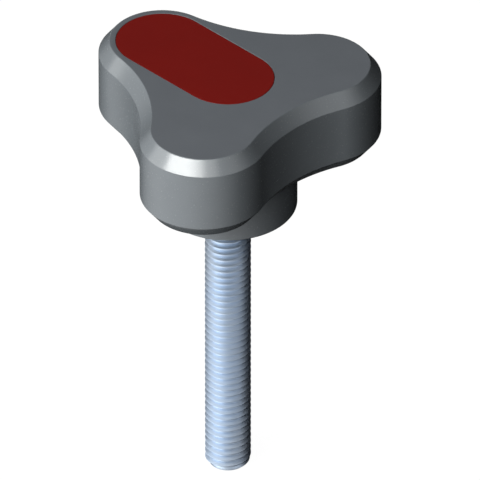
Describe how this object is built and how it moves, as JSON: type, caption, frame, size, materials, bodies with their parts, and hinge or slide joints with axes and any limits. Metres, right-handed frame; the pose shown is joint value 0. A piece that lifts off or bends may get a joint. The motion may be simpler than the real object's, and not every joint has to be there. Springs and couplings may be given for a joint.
{
  "type": "three-lobe knob",
  "caption": "Clamping knob with a dark grey moulded lobed grip on a round hub, a flush dark red cover let into one lobe, and a long threaded steel stud.",
  "frame": {"origin": "on the stud's axis, in the plane of the hub's underside, which seats on the clamped part", "axes": "+Z along the stud's axis from its tip to the grip, +Y towards the lobe that carries the cover"},
  "size_m": [0.0498, 0.046, 0.081],
  "materials": {
    "grip_plastic": "satin",
    "cover_plastic": "satin",
    "zinc_plated_steel": "satin"
  },
  "bodies": {
    "root": {"knob_body": "grip_plastic", "cover_cap": "cover_plastic", "hex_screw": "zinc_plated_steel"}
  },
  "joints": []
}
